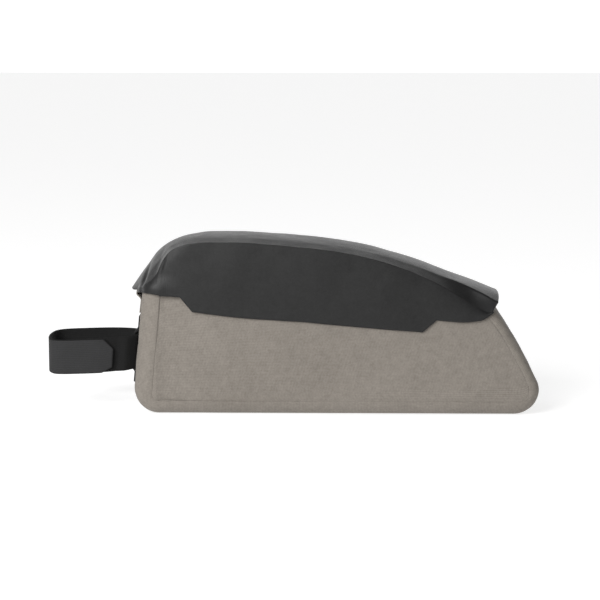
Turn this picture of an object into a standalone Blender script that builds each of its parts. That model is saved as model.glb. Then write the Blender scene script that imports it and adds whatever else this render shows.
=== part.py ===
"""Bicycle top-tube bag: a welded box of two padded side panels and one gusset strip, with a hood-shaped lid
that is hinged at the front on a short fabric strip, and a hook-and-loop strap held on the front wall by a keeper.

Metres. +X runs from the front of the bicycle to its rear, +Z is up, and the bag is the same on both sides of
the plane Y = 0 apart from its strap. The origin is on the underside of the base, midway along the body.
"""

import math
from collections import namedtuple

import bpy
from mathutils import Vector

# Body: outline from the side, and width
BODY_LENGTH = 0.2424
BODY_WIDTH = 0.0560
FRONT_LEAN = math.radians(5.2)
REAR_SLOPE = math.radians(59.0)
REAR_BOW = 0.0015
FRONT_FOOT_RADIUS = 0.0150
REAR_FOOT_RADIUS = 0.0146
FRONT_RIM_HEIGHT = 0.0740
REAR_RIM_HEIGHT = 0.0635
REAR_RIM_ARCH = 0.0050

# Body: walls and the seams between the gusset and the side panels
GUSSET_THICKNESS = 0.0025
PANEL_THICKNESS = 0.0030
PANEL_CROWN = 0.0008
FRONT_LIP = 0.0116
BASE_LIP = 0.0085
REAR_LIP = 0.0055
SEAM_GAP = 0.0003

# Lid: height of its crown, wall, and the tab that hangs from each side of it
LID_TOP_HEIGHT = 0.1061
LID_THICKNESS = 0.0014
LID_SIDE_GAP = 0.0004
LID_SHOULDER_INSET = 0.0014
LID_FRONT_HEM_HEIGHT = 0.0730
TAB_START = -0.0924
TAB_END = 0.0597
TAB_FRONT_CHAMFER = 0.0071
TAB_REAR_CHAMFER = 0.0083
TAB_DEPTH = 0.0078

# Hinge strip between the front wall and the lid's front hem
HINGE_THICKNESS = 0.0012
HINGE_ROOT_HALF_WIDTH = 0.0150
HINGE_TIP_HALF_WIDTH = 0.0070
HINGE_FOOT_HEIGHT = 0.0600
HINGE_BEND_HEIGHT = 0.0672
HINGE_LIP_HEIGHT = 0.671 * LID_TOP_HEIGHT
HINGE_REACH = 0.0046
HINGE_BOW = 0.0010
HINGE_GAP = 0.0004

# Front strap: a loop that passes behind the keeper and closes on itself on the near side
STRAP_WIDTH = 0.0200
STRAP_THICKNESS = 0.0017
STRAP_HEIGHT = 0.0358
STRAP_SAG = 0.0018
STRAP_NEAR_SAG = 0.0012
STRAP_REACH = 0.0545
STRAP_DEPTH = 0.0375
STRAP_WALL_GAP = 0.0005
STRAP_LAYER_GAP = 0.0005
STRAP_END = 0.0142
STRAP_OVERLAP = 0.0300
STRAP_END_CHAMFER = 0.0060

# Keeper: a strip up the front wall that holds the strap
KEEPER_THICKNESS = 0.0013
KEEPER_WIDTH = 0.0140
KEEPER_FOOT_HEIGHT = 0.0165
KEEPER_LENGTH = 0.0400
KEEPER_WALL_GAP = 0.0003
KEEPER_STRAP_GAP = 0.0004

HALF_WIDTH = BODY_WIDTH / 2
LID_HALF_WIDTH = HALF_WIDTH + PANEL_CROWN + LID_SIDE_GAP + LID_THICKNESS


def material(name, colour, roughness):
    made = bpy.data.materials.new(name)
    made.use_nodes = True
    shader = made.node_tree.nodes["Principled BSDF"]
    shader.inputs["Base Color"].default_value = (*colour, 1.0)
    shader.inputs["Roughness"].default_value = roughness
    shader.inputs["Metallic"].default_value = 0.0
    return made


def shell(name, outer, inner, surface):
    """One closed object between two grids of points of the same size, the outer one seen face on."""
    mesh = bpy.data.meshes.new(name)
    tall, wide = len(outer), len(outer[0])
    points = [point for row in [*outer, *inner] for point in row]
    under = tall * wide
    faces = []
    for i in range(tall - 1):
        for j in range(wide - 1):
            a = i * wide + j
            faces.append((a, a + 1, a + wide + 1, a + wide))
            faces.append((under + a, under + a + wide, under + a + wide + 1, under + a + 1))
    border = list(range(wide))
    border += [i * wide + wide - 1 for i in range(1, tall)]
    border += [(tall - 1) * wide + j for j in range(wide - 2, -1, -1)]
    border += [i * wide for i in range(tall - 2, 0, -1)]
    for a, b in zip(border, border[1:] + border[:1]):
        faces.append((b, a, under + a, under + b))
    mesh.from_pydata(points, [], faces)
    mesh.materials.append(surface)
    made = bpy.data.objects.new(name, mesh)
    bpy.context.scene.collection.objects.link(made)
    mesh.shade_smooth()
    mesh.set_sharp_from_angle(angle=math.radians(35))


def inside(rows, thickness):
    """The other face of a cloth whose outer face is this grid: each point moved in, square to the grid there."""
    grid = [[Vector(point) for point in row] for row in rows]
    last_row, last = len(grid) - 1, len(grid[0]) - 1
    made = []
    for i, row in enumerate(grid):
        moved = []
        for j, point in enumerate(row):
            along = row[min(j + 1, last)] - row[max(j - 1, 0)]
            onward = grid[min(i + 1, last_row)][j] - grid[max(i - 1, 0)][j]
            moved.append(tuple(point - along.cross(onward).normalized() * thickness))
        made.append(moved)
    return made


def smooth(a, b, share):
    """From a to b with no corner at either end."""
    t = min(1.0, max(0.0, share))
    return a + (b - a) * t * t * (3 - 2 * t)


def slopes(values):
    """Slope at each of a row of values one apart, such that a curve through them never overshoots one."""
    steps = [b - a for a, b in zip(values, values[1:])]
    inner = [0.0 if p * q <= 0 else 2 * p * q / (p + q) for p, q in zip(steps, steps[1:])]
    return [steps[0], *inner, steps[-1]]


def along_curve(values, at):
    """The value at row number `at`, a fraction too, on a smooth curve through a column of values."""
    i = min(int(at), len(values) - 2)
    t = at - i
    slope = slopes(values)
    rise = values[i + 1] - values[i]
    return (
        values[i]
        + slope[i] * t
        + (3 * rise - 2 * slope[i] - slope[i + 1]) * t * t
        + (slope[i] + slope[i + 1] - 2 * rise) * t * t * t
    )


# Side outline of the body

WALL_ROWS = 7
FOOT_ROWS = 8
BASE_ROWS = 10

Station = namedtuple("Station", "x z out_x out_z lip part share")


def front_wall_x(z):
    """Outer face of the front wall at a height above its rounded foot."""
    start = math.pi - FRONT_LEAN
    foot_x = -BODY_LENGTH / 2 + FRONT_FOOT_RADIUS * (1 + math.cos(start))
    foot_z = FRONT_FOOT_RADIUS * (1 + math.sin(start))
    return foot_x + (z - foot_z) * math.tan(FRONT_LEAN)


def front_side(steps):
    """Stations down the front wall, from its rim to where the foot begins."""
    start = math.pi - FRONT_LEAN
    low = FRONT_FOOT_RADIUS * (1 + math.sin(start))
    made = []
    for k in range(steps):
        share = k / steps
        z = FRONT_RIM_HEIGHT + (low - FRONT_RIM_HEIGHT) * share
        made.append(
            Station(front_wall_x(z), z, math.cos(start), math.sin(start), FRONT_LIP, "front", 1 - share)
        )
    return made


def foot(centre_x, radius, first, last, lips, steps, part):
    """Stations round one rounded foot, between two directions of its outward normal."""
    made = []
    for k in range(steps + 1):
        share = k / steps
        angle = first + (last - first) * share
        out_x, out_z = math.cos(angle), math.sin(angle)
        made.append(
            Station(
                centre_x + radius * out_x,
                radius + radius * out_z,
                out_x,
                out_z,
                smooth(*lips, share),
                part,
                share,
            )
        )
    return made


def rear_side(steps):
    """Stations up the rear wall, which bows out a little, from its foot to its rim."""
    angle = math.pi / 2 - REAR_SLOPE
    out_x, out_z = math.cos(angle), math.sin(angle)
    low_x = BODY_LENGTH / 2 - REAR_FOOT_RADIUS + REAR_FOOT_RADIUS * out_x
    low_z = REAR_FOOT_RADIUS + REAR_FOOT_RADIUS * out_z
    length = (REAR_RIM_HEIGHT - low_z) / math.sin(REAR_SLOPE)
    made = []
    for k in range(1, steps + 1):
        share = k / steps
        bow = REAR_BOW * 4 * share * (1 - share)
        x = low_x - length * share * math.cos(REAR_SLOPE) + bow * out_x
        z = low_z + length * share * math.sin(REAR_SLOPE) + bow * out_z
        made.append(Station(x, z, out_x, out_z, REAR_LIP, "rear", share))
    return made


def base_side(steps):
    """Stations along the base, between the two feet."""
    low = -BODY_LENGTH / 2 + FRONT_FOOT_RADIUS
    high = BODY_LENGTH / 2 - REAR_FOOT_RADIUS
    return [
        Station(low + (high - low) * k / steps, 0.0, 0.0, -1.0, BASE_LIP, "base", k / steps)
        for k in range(1, steps)
    ]


def side_outline():
    down = math.radians(270)
    front_foot = foot(
        -BODY_LENGTH / 2 + FRONT_FOOT_RADIUS,
        FRONT_FOOT_RADIUS,
        math.pi - FRONT_LEAN,
        down,
        (FRONT_LIP, BASE_LIP),
        FOOT_ROWS,
        "front_foot",
    )
    rear_foot = foot(
        BODY_LENGTH / 2 - REAR_FOOT_RADIUS,
        REAR_FOOT_RADIUS,
        down,
        2 * math.pi + math.pi / 2 - REAR_SLOPE,
        (BASE_LIP, REAR_LIP),
        FOOT_ROWS,
        "rear_foot",
    )
    return [
        *front_side(WALL_ROWS),
        *front_foot,
        *base_side(BASE_ROWS),
        *rear_foot,
        *rear_side(WALL_ROWS),
    ]


# Gusset: the front wall, base and rear wall in one strip, rounded over to meet the side panels

EDGE_STEPS = 5
FLAT_STEPS = 4


def gusset_profile(lip, under):
    """(depth in from the outline, y) across the strip, from one seam to the other, at a depth under its face."""
    near = []
    for k in range(EDGE_STEPS + 1):
        angle = math.radians(90) * k / EDGE_STEPS
        radius = lip - under
        near.append((lip - radius * math.sin(angle), -HALF_WIDTH + lip - radius * math.cos(angle)))
    flat = HALF_WIDTH - lip
    middle = [(under, -flat + 2 * flat * k / FLAT_STEPS) for k in range(1, FLAT_STEPS)]
    return [*near, *middle, *((depth, -y) for depth, y in reversed(near))]


def gusset_rows(under):
    rows = []
    for s in side_outline():
        row = []
        for depth, y in gusset_profile(s.lip, under):
            x = s.x - s.out_x * depth
            z = s.z - s.out_z * depth
            if s.part == "rear":
                lift = REAR_RIM_ARCH * s.share * (1 - (y / HALF_WIDTH) ** 2)
                x -= lift * math.cos(REAR_SLOPE)
                z += lift * math.sin(REAR_SLOPE)
            row.append((x, y, z))
        rows.append(row)
    return rows


# Side panels: the area inside the gusset's seams, up to the rim

def seam_points():
    """The panel's edge beside the gusset, from the front of the rim round to the rear of it."""
    points = []
    for s in side_outline():
        depth = s.lip + SEAM_GAP
        points.append((s.x - s.out_x * depth, s.z - s.out_z * depth))
    return points


def shares_of(points):
    """How far along a polyline each of its points is, as a share of its length."""
    run = [0.0]
    for a, b in zip(points, points[1:]):
        run.append(run[-1] + math.dist(a, b))
    return [length / run[-1] for length in run]


def panel_sides():
    """The panel's outline as four sides that meet in the middle of each foot and at the ends of the rim. Those
    that face each other have as many points."""
    outline = side_outline()
    seam = seam_points()
    turns = []
    for part in ("front_foot", "rear_foot"):
        numbers = [i for i, s in enumerate(outline) if s.part == part]
        turns.append(numbers[len(numbers) // 2])
    front = seam[: turns[0] + 1][::-1]
    base = seam[turns[0] : turns[1] + 1]
    rear = seam[turns[1] :]
    start, end = seam[0], seam[-1]
    rim = [tuple(p + (q - p) * share for p, q in zip(start, end)) for share in shares_of(base)]
    return front, base, rear, rim


def panel_rows(side, under):
    """A grid over the panel at a depth under its face, blended from its four sides. It swells by its crown in
    the middle, and its edges run straight in along Y, so that the gap beside the gusset is even."""
    front, base, rear, rim = panel_sides()
    upright = [(a + b) / 2 for a, b in zip(shares_of(front), shares_of(rear))]
    rows = []
    for v, left, right in zip(upright, front, rear):
        row = []
        for u, low, high in zip(shares_of(base), base, rim):
            x, z = (
                (1 - v) * low[k]
                + v * high[k]
                + (1 - u) * (left[k] - (1 - v) * base[0][k] - v * rim[0][k])
                + u * (right[k] - (1 - v) * base[-1][k] - v * rim[-1][k])
                for k in range(2)
            )
            crown = PANEL_CROWN * abs(math.sin(math.pi * u) * math.sin(math.pi * v)) ** 0.5
            row.append((x, side * (HALF_WIDTH + crown - under), z))
        rows.append(row)
    return rows if side < 0 else [row[::-1] for row in rows]


# Lid: sections across it, from its front hem to its rear edge. The heights are shares of LID_TOP_HEIGHT, the
# positions along are shares of BODY_LENGTH from the front of the body, and the shoulder's and hem's places
# across are shares of their own half widths. The hem goes round the body's front corner by the angle
# hem_turn, and where that is 90 it runs along the side at hem_along. The crease lies at crease_at of the way
# from the middle to the shoulder, and crease_lift of the way from the shoulder up to the crown.

LidSection = namedtuple(
    "LidSection",
    "crown_along crown_height shoulder_along shoulder_across shoulder_height"
    " hem_turn hem_along hem_across hem_height crease_at crease_lift",
)

LID_SECTIONS = [
    LidSection(-0.0100, 0.690, 0.0090, 0.480, 0.692, -8.0, 0.0, 1.0, 0.680, 0.86, 0.10),
    LidSection(0.0080, 0.752, 0.0150, 0.685, 0.715, 16.0, 0.0, 1.0, 0.692, 0.76, 0.20),
    LidSection(0.0320, 0.826, 0.0255, 0.825, 0.732, 36.0, 0.0, 1.0, 0.697, 0.76, 0.34),
    LidSection(0.0550, 0.898, 0.0420, 0.930, 0.754, 56.0, 0.0, 1.0, 0.697, 0.76, 0.46),
    LidSection(0.0740, 0.937, 0.0600, 0.985, 0.795, 76.0, 0.0, 1.0, 0.692, 0.74, 0.56),
    LidSection(0.0860, 0.954, 0.0760, 1.000, 0.870, 88.0, 0.0, 1.0, 0.687, 0.70, 0.60),
    LidSection(0.0990, 0.967, 0.0940, 1.000, 0.925, 90.0, 0.0900, 1.0, 0.681, 0.66, 0.62),
    LidSection(0.1350, 0.990, 0.1320, 1.000, 0.965, 90.0, 0.1340, 1.0, 0.672, 0.60, 0.64),
    LidSection(0.1900, 1.003, 0.1900, 1.000, 0.981, 90.0, 0.1900, 1.0, 0.655, 0.60, 0.64),
    LidSection(0.2700, 1.003, 0.2700, 1.000, 0.980, 90.0, 0.2700, 1.0, 0.634, 0.60, 0.64),
    LidSection(0.4070, 0.982, 0.4070, 1.000, 0.955, 90.0, 0.4070, 1.0, 0.614, 0.62, 0.66),
    LidSection(0.5280, 0.952, 0.5280, 1.000, 0.921, 90.0, 0.5280, 1.0, 0.590, 0.66, 0.70),
    LidSection(0.6100, 0.910, 0.6100, 1.000, 0.875, 90.0, 0.6100, 1.0, 0.574, 0.70, 0.76),
    LidSection(0.6900, 0.857, 0.6900, 1.000, 0.813, 90.0, 0.6900, 1.0, 0.560, 0.72, 0.84),
    LidSection(0.7600, 0.796, 0.7600, 1.000, 0.735, 90.0, 0.7600, 1.0, 0.548, 0.72, 0.90),
    LidSection(0.8110, 0.750, 0.8100, 1.000, 0.668, 90.0, 0.8100, 1.0, 0.540, 0.74, 0.92),
    LidSection(0.8520, 0.718, 0.8480, 0.995, 0.616, 90.0, 0.8500, 0.990, 0.547, 0.80, 0.90),
    LidSection(0.8830, 0.694, 0.8720, 0.990, 0.592, 90.0, 0.8740, 0.975, 0.572, 0.87, 0.82),
    LidSection(0.9030, 0.676, 0.8830, 0.980, 0.600, 90.0, 0.8850, 0.960, 0.591, 0.90, 0.74),
]

ROWS_PER_SECTION = 2
WALL_STEPS = 4
FACET_STEPS = 2
CROWN_STEPS = 5
WALL_LEAN_POWER = 3.0


def column(name, at):
    return along_curve([getattr(section, name) for section in LID_SECTIONS], at)


def along_x(share):
    return -BODY_LENGTH / 2 + BODY_LENGTH * share


def tab_drop(x):
    """How far the hem hangs below its plain line at x, where the tab is."""
    front = (x - TAB_START) / TAB_FRONT_CHAMFER
    rear = (TAB_END - x) / TAB_REAR_CHAMFER
    return TAB_DEPTH * max(0.0, min(1.0, front, rear))


def hem_point(at):
    """(x, half width, z) of the hem. Its front part goes round the rounded front corner of the body."""
    z = LID_TOP_HEIGHT * column("hem_height", at)
    turn = math.radians(min(90.0, column("hem_turn", at)))
    radius = LID_HALF_WIDTH - (HALF_WIDTH - FRONT_LIP)
    corner_x = front_wall_x(LID_FRONT_HEM_HEIGHT) + FRONT_LIP
    if turn < math.radians(89.9):
        x = corner_x - radius * math.cos(turn)
        return x, HALF_WIDTH - FRONT_LIP + radius * math.sin(turn), z
    x = along_x(column("hem_along", at))
    return x, LID_HALF_WIDTH * column("hem_across", at), z - tab_drop(x)


def lid_half_section(at):
    """Points from the hem up the side wall, over the shoulder and the crease, to the middle of the crown."""
    hem_x, hem_y, hem_z = hem_point(at)
    crown_x = along_x(column("crown_along", at))
    crown_z = LID_TOP_HEIGHT * column("crown_height", at)
    shoulder_x = along_x(column("shoulder_along", at))
    shoulder_y = (LID_HALF_WIDTH - LID_SHOULDER_INSET) * column("shoulder_across", at)
    shoulder_z = LID_TOP_HEIGHT * column("shoulder_height", at)
    crease_at = column("crease_at", at)
    crease_lift = column("crease_lift", at)
    points = []
    for k in range(WALL_STEPS):
        t = k / WALL_STEPS
        lean = t**WALL_LEAN_POWER
        points.append(
            (
                hem_x + (shoulder_x - hem_x) * t,
                hem_y + (shoulder_y - hem_y) * lean,
                hem_z + (shoulder_z - hem_z) * t,
            )
        )
    across = [1 - (1 - crease_at) * k / FACET_STEPS for k in range(FACET_STEPS)]
    across += [crease_at * (1 - k / CROWN_STEPS) for k in range(CROWN_STEPS + 1)]
    for share in across:
        if share > crease_at:
            lift = crease_lift * (1 - share) / (1 - crease_at)
        else:
            lift = crease_lift + (1 - crease_lift) * (1 - (share / crease_at) ** 2)
        points.append(
            (
                shoulder_x + (crown_x - shoulder_x) * lift,
                shoulder_y * share,
                shoulder_z + (crown_z - shoulder_z) * lift,
            )
        )
    return points


def row_at_hem(x):
    """The row number, a fraction too, at which the side hem reaches x."""
    low, high = 6.0, float(len(LID_SECTIONS) - 1)
    for _ in range(40):
        middle = (low + high) / 2
        if along_x(column("hem_along", middle)) < x:
            low = middle
        else:
            high = middle
    return low


def lid_rows():
    count = (len(LID_SECTIONS) - 1) * ROWS_PER_SECTION
    numbers = [k / ROWS_PER_SECTION for k in range(count + 1)]
    corners = [
        row_at_hem(x)
        for x in (TAB_START, TAB_START + TAB_FRONT_CHAMFER, TAB_END - TAB_REAR_CHAMFER, TAB_END)
    ]
    kept = [n for n in numbers if min(abs(n - c) for c in corners) > 0.2]
    rows = []
    for at in sorted([*kept, *corners]):
        half = lid_half_section(at)
        near = [(x, -y, z) for x, y, z in half]
        rows.append([*half, *near[-2::-1]])
    return rows


# Hinge strip, keeper and strap


def strip_rows(path, half_widths, steps, under):
    """A strip across Y along a path of (x, z), at a depth under its outer face."""
    rows = []
    for k, (x, z) in enumerate(path):
        before, after = path[max(k - 1, 0)], path[min(k + 1, len(path) - 1)]
        run, rise = after[0] - before[0], after[1] - before[1]
        length = math.hypot(run, rise)
        inner = (x + under * rise / length, z - under * run / length)
        rows.append(
            [
                (inner[0], half_widths[k] * (1 - 2 * j / steps), inner[1])
                for j in range(steps + 1)
            ]
        )
    return rows


def bend(points, steps):
    """A smooth curve of (x, z) through a few points."""
    across = [p[0] for p in points]
    heights = [p[1] for p in points]
    count = (len(points) - 1) * steps
    return [(along_curve(across, k / steps), along_curve(heights, k / steps)) for k in range(count + 1)]


def hinge_path():
    """Up the front wall, out under the lid's front hem and a little way up inside it."""
    off = HINGE_GAP + HINGE_THICKNESS
    lip_x = front_wall_x(HINGE_LIP_HEIGHT) - HINGE_REACH
    points = [
        (front_wall_x(HINGE_FOOT_HEIGHT) - off, HINGE_FOOT_HEIGHT),
        (front_wall_x(HINGE_BEND_HEIGHT) - off, HINGE_BEND_HEIGHT),
        (lip_x, HINGE_LIP_HEIGHT),
        (lip_x + 0.0026, HINGE_LIP_HEIGHT + 0.0055),
    ]
    return bend(points, 4)


def hinge_rows(under):
    """Its free part is bowed in plan, to lie inside the pointed front of the lid."""
    path = hinge_path()
    shares = [k / (len(path) - 1) for k in range(len(path))]
    widths = [smooth(HINGE_ROOT_HALF_WIDTH, HINGE_TIP_HALF_WIDTH, share) for share in shares]
    rows = []
    for share, width, row in zip(shares, widths, strip_rows(path, widths, 6, under)):
        bow = smooth(0.0, HINGE_BOW, (share - 0.5) / 0.3)
        rows.append([(x + bow * (y / width) ** 2, y, z) for x, y, z in row])
    return rows


KEEPER_ROWS = 20


def keeper_rows(under):
    """Flat on the wall at both ends, and arched over the strap between them."""
    flat = KEEPER_WALL_GAP + KEEPER_THICKNESS
    arch = STRAP_WALL_GAP + STRAP_THICKNESS + KEEPER_STRAP_GAP - KEEPER_WALL_GAP
    path = []
    for k in range(KEEPER_ROWS + 1):
        z = KEEPER_FOOT_HEIGHT + KEEPER_LENGTH * k / KEEPER_ROWS
        from_edge = (STRAP_WIDTH / 2 + 0.0035 - abs(z - STRAP_HEIGHT)) / 0.0035
        path.append((front_wall_x(z) - flat - smooth(0.0, arch, from_edge), z))
    return strip_rows(path, [KEEPER_WIDTH / 2] * len(path), 4, under)


StrapPoint = namedtuple("StrapPoint", "out across")

# Half of the loop in plan, from behind the keeper to the far end: shares of STRAP_REACH and of half of
# STRAP_DEPTH.
STRAP_LOOP = [
    StrapPoint(0.000, 0.000),
    StrapPoint(0.000, 0.220),
    StrapPoint(0.003, 0.440),
    StrapPoint(0.060, 0.620),
    StrapPoint(0.150, 0.780),
    StrapPoint(0.280, 0.920),
    StrapPoint(0.420, 0.985),
    StrapPoint(0.580, 1.000),
    StrapPoint(0.750, 0.990),
    StrapPoint(0.880, 0.920),
    StrapPoint(0.965, 0.700),
    StrapPoint(0.995, 0.360),
    StrapPoint(1.000, 0.000),
]
STRAP_STEPS = 3


def half_loop():
    """Points of (out from the wall, across) on half of the loop's outer face."""
    count = (len(STRAP_LOOP) - 1) * STRAP_STEPS
    outs = [p.out for p in STRAP_LOOP]
    sides = [p.across for p in STRAP_LOOP]
    return [
        (
            STRAP_REACH * along_curve(outs, k / STRAP_STEPS),
            STRAP_DEPTH / 2 * along_curve(sides, k / STRAP_STEPS),
        )
        for k in range(count + 1)
    ]


def strap_plan():
    """The strap's outer face in plan: from its hidden end under the closure, in to the wall, round the far
    side and back along the near side to its chamfered end."""
    half = half_loop()
    layer = STRAP_THICKNESS + STRAP_LAYER_GAP
    near = [(out, -across) for out, across in half]
    inner = []
    for out, across in near:
        if out > STRAP_OVERLAP:
            break
        tucked = smooth(0.0, layer, (out - STRAP_END * 0.4) / (STRAP_END * 0.5))
        inner.append((out, across + tucked))
    outer = [point for point in near[::-1] if point[0] > STRAP_END + STRAP_END_CHAMFER * 1.2]
    cut = [
        (STRAP_END + STRAP_END_CHAMFER, -STRAP_DEPTH / 2 * 0.965),
        (STRAP_END, -STRAP_DEPTH / 2 * 0.925),
    ]
    return [*inner[::-1], *half[1:], *outer[1:], *cut]


def strap_edges(k, plan):
    """Heights of the strap's edges from its middle. Its visible end has its two corners cut off."""
    left = math.dist(plan[k], plan[-1])
    cut = 0.0
    if k > len(plan) / 2:
        cut = max(0.0, 1 - left / STRAP_END_CHAMFER)
    return -STRAP_WIDTH / 2 + cut * STRAP_END_CHAMFER / 2, STRAP_WIDTH / 2 - cut * STRAP_END_CHAMFER


def strap_rows(under):
    plan = strap_plan()
    rows = []
    for k, (out, across) in enumerate(plan):
        before, after = plan[max(k - 1, 0)], plan[min(k + 1, len(plan) - 1)]
        run, rise = after[0] - before[0], after[1] - before[1]
        length = math.hypot(run, rise)
        inner_out = out + under * rise / length
        inner_across = across - under * run / length
        away = out / STRAP_REACH
        sag = STRAP_SAG * away + STRAP_NEAR_SAG * smooth(0.0, 1.0, -2 * across / STRAP_DEPTH)
        low, high = strap_edges(k, plan)
        row = []
        for j in range(5):
            height = high + (low - high) * j / 4
            lean = (height - sag) * math.tan(FRONT_LEAN) * smooth(1.0, 0.0, away)
            x = front_wall_x(STRAP_HEIGHT) - STRAP_WALL_GAP + lean - inner_out
            row.append((x, inner_across, STRAP_HEIGHT + height - sag))
        rows.append(row)
    return rows


def main():
    for old in list(bpy.data.objects):
        bpy.data.objects.remove(old, do_unlink=True)
    taupe = material("taupe_coated_cloth", (0.245, 0.220, 0.190), 0.75)
    charcoal = material("charcoal_coated_cloth", (0.040, 0.040, 0.039), 0.60)
    black = material("black_webbing", (0.010, 0.010, 0.010), 0.85)
    shell("gusset", gusset_rows(0.0), gusset_rows(GUSSET_THICKNESS), taupe)
    shell("side_panel_near", panel_rows(-1, 0.0), panel_rows(-1, PANEL_THICKNESS), taupe)
    shell("side_panel_far", panel_rows(1, 0.0), panel_rows(1, PANEL_THICKNESS), taupe)
    lid = lid_rows()
    shell("lid", lid, inside(lid, LID_THICKNESS), charcoal)
    shell("hinge_strip", hinge_rows(0.0), hinge_rows(HINGE_THICKNESS), taupe)
    shell("strap_keeper", keeper_rows(0.0), keeper_rows(KEEPER_THICKNESS), black)
    shell("front_strap", strap_rows(0.0), strap_rows(STRAP_THICKNESS), black)


main()
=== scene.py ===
"""Looks of the bicycle top-tube bag: detailed cloth pieces in the place of the plain solids, their materials,
the floor, the lights and the camera. Metres, in the model's own frame."""

import math
from collections import namedtuple

import bpy
import numpy as np
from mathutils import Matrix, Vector, noise


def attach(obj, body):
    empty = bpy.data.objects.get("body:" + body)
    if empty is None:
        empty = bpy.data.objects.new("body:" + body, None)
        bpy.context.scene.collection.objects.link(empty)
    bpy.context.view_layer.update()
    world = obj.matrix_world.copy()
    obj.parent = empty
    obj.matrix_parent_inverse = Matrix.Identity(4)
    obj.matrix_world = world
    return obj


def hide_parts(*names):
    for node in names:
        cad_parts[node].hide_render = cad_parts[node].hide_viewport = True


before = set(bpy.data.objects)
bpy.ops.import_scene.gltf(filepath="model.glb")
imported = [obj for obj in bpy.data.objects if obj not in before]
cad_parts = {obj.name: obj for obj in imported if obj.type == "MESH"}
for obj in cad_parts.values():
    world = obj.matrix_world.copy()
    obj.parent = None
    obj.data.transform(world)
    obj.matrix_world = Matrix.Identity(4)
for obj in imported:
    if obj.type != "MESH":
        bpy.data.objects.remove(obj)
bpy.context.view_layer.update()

# Body, as in the model
BODY_LENGTH = 0.2424
BODY_WIDTH = 0.0560
HALF_WIDTH = BODY_WIDTH / 2
FRONT_LEAN = math.radians(5.2)
REAR_SLOPE = math.radians(59.0)
REAR_BOW = 0.0015
FRONT_FOOT_RADIUS = 0.0150
REAR_FOOT_RADIUS = 0.0146
FRONT_RIM_HEIGHT = 0.0740
REAR_RIM_HEIGHT = 0.0635
REAR_RIM_ARCH = 0.0050
GUSSET_THICKNESS = 0.0025
PANEL_THICKNESS = 0.0030
SOLID_PANEL_CROWN = 0.0008
FRONT_LIP = 0.0116
BASE_LIP = 0.0085
REAR_LIP = 0.0055

# Padding of the side panels: its rise, how far in it is full, and the hollow behind the front seam
PANEL_CROWN = 0.0010
PANEL_CROWN_RUN = 0.028
PANEL_MIDDLE_HEIGHT = 0.040
FRONT_SINK = 0.0011
FRONT_SINK_AT = 0.009

# Seam: the gap, the roll of each edge, and the soft valley for each lip of the gusset
SEAM_GAP = 0.00006
SEAM_ROLL = 0.00008
SEAM_ROLL_WIDTH = 0.0006
VALLEY_LIPS = (REAR_LIP, BASE_LIP, FRONT_LIP)
VALLEY_DEPTHS = (0.00025, 0.00010, 0.00030)
VALLEY_WIDTH = 0.0020

# Lid
LID_TOP_HEIGHT = 0.1061
LID_THICKNESS = 0.0014
LID_FRONT_HEM_HEIGHT = 0.0730
LID_SIDE_GAP = 0.0004
LID_HALF_WIDTH = HALF_WIDTH + SOLID_PANEL_CROWN + LID_SIDE_GAP + LID_THICKNESS
LID_SHOULDER_INSET = 0.0014
LID_CORNER_START = -0.085
LID_CORNER_RUN = 0.022
LID_CORNER_FOOT = 0.0755
LID_CORNER_RISE = 0.010
LID_CORNER_DRAW = 0.075
TAB_START = -0.0924
TAB_END = 0.0597
TAB_FRONT_CHAMFER = 0.0071
TAB_REAR_CHAMFER = 0.0083
TAB_DEPTH = 0.0078

# Hinge strip
HINGE_THICKNESS = 0.0007
HINGE_ROOT_HALF_WIDTH = 0.0150
HINGE_TIP_HALF_WIDTH = 0.0070
HINGE_FOOT_HEIGHT = 0.0600
HINGE_BEND_HEIGHT = 0.0672
HINGE_LIP_HEIGHT = 0.671 * LID_TOP_HEIGHT
HINGE_REACH = 0.0046
HINGE_FOLD_IN = 0.0026
HINGE_FOLD_RISE = 0.0055
HINGE_BOW = 0.0010
HINGE_BOW_START = 0.5
HINGE_BOW_RUN = 0.3
HINGE_GAP = 0.0001

# Strap and keeper
STRAP_WIDTH = 0.0200
STRAP_THICKNESS = 0.0017
STRAP_HEIGHT = 0.0358
STRAP_SAG = 0.0018
STRAP_NEAR_SAG = 0.0012
STRAP_REACH = 0.0545
STRAP_DEPTH = 0.0375
STRAP_WALL_GAP = 0.0005
STRAP_LAYER_GAP = 0.0005
STRAP_END = 0.0142
STRAP_OVERLAP = 0.0300
STRAP_END_CHAMFER = 0.0060
KEEPER_THICKNESS = 0.0013
KEEPER_WIDTH = 0.0140
KEEPER_FOOT_HEIGHT = 0.0165
KEEPER_LENGTH = 0.0400
KEEPER_RAMP = 0.0035
KEEPER_WALL_GAP = 0.0003
KEEPER_STRAP_GAP = 0.0004

# The overlap's step out to the second layer, as shares of STRAP_END
LAP_START = 0.4
LAP_RUN = 0.5

# The second layer's cut end, as shares of the chamfer and of the loop's half depth
CUT_CLEARANCE = 1.2
CUT_SIDE = 0.965
CUT_TAPER = 0.040

# Fine unevenness of the cloth: height, size and seed of each layer of noise, and where it fades out
GUSSET_RIPPLES = ((0.0005, 0.022, 1), (0.00015, 0.006, 2))
PANEL_RIPPLES = ((0.0007, 0.030, 3), (0.0002, 0.009, 5))
LID_RIPPLES = ((0.0004, 0.024, 11), (0.00015, 0.008, 12))
SEED_STEP = (7.3, 3.1, 5.7)
BASE_FADE = 0.004
PANEL_EDGE_FADE = 0.006

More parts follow.
